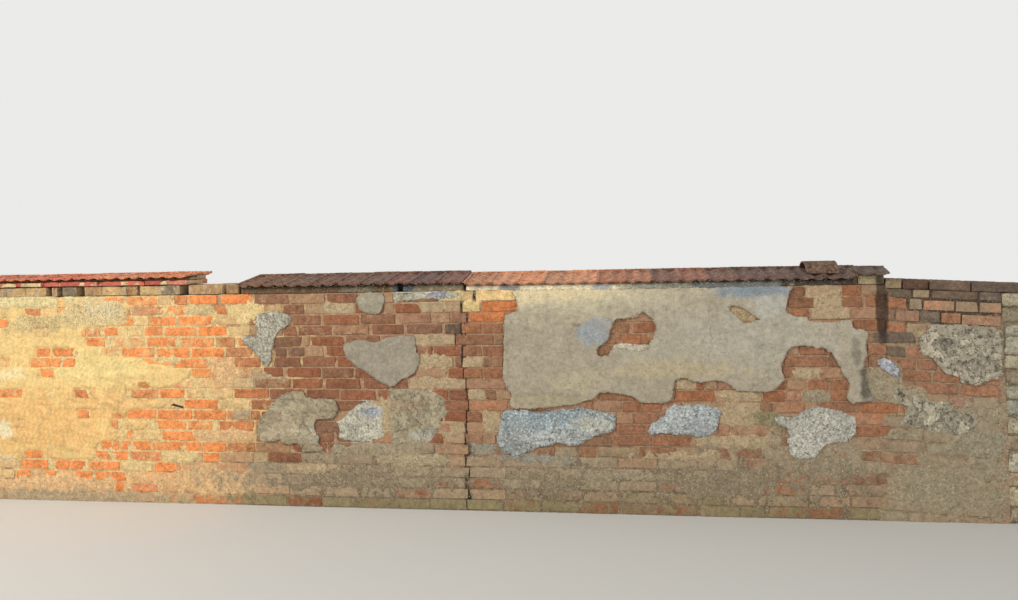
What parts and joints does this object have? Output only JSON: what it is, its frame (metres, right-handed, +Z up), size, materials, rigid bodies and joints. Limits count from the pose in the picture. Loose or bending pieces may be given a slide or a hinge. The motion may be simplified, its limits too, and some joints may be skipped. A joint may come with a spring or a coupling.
{
  "type": "brick garden wall",
  "caption": "Old free-standing brick garden wall in bays, with a fluted clay tile coping on mortar, a sunken end bay under worn slabs, and remains of render and lime coat.",
  "frame": {"origin": "on the ground, at the middle of the wall's length and of its thickness", "axes": "+X along the wall, to the right seen from the garden side; +Y away from the garden side; +Z up"},
  "size_m": [9.004, 0.4729, 1.9312],
  "materials": {
    "brickwork": "weathered hand-made brick, matte",
    "stonework": "weathered grey stone, matte",
    "slabs": "worn dark slabs, matte",
    "mortar": "lime mortar, rough",
    "tile_clay": "weathered clay tile, matte",
    "render": "trowelled render, matte",
    "lime_coat": "smeared lime mortar, matte",
    "iron": "rusty wrought iron"
  },
  "bodies": {
    "root": {"bay_left_wall": "brickwork", "top_course_left": "brickwork", "bay_centre_wall": "brickwork", "bay_right_wall": "brickwork", "end_pier_right": "stonework", "capping_slabs_right": "slabs", "tile_creasing_left": "tile_clay", "mortar_bed_left": "mortar", "mortar_bed_middle": "mortar", "mortar_bed_right": "mortar", "bedding_stones_end": "mortar", "coping_tiles_left": "tile_clay", "coping_tiles_middle": "tile_clay", "coping_tiles_right": "tile_clay", "coping_end_tile": "tile_clay", "loose_ridge_tile": "tile_clay", "lime_coat_left": "lime_coat", "render_centre_field": "render", "render_top_strip": "render", "render_patch_small_top": "render", "render_patch_heart": "render", "render_patch_grey_left": "render", "render_patch_lower_left": "render", "render_patch_white_lower": "render", "render_patch_lower_mid": "render", "render_patch_blue_lower": "render", "render_patch_blue_small": "render", "render_patch_white_right": "render", "render_patch_right": "render", "render_patch_right_low": "render", "render_chip_pale": "render", "iron_hook": "iron"}
  },
  "joints": []
}
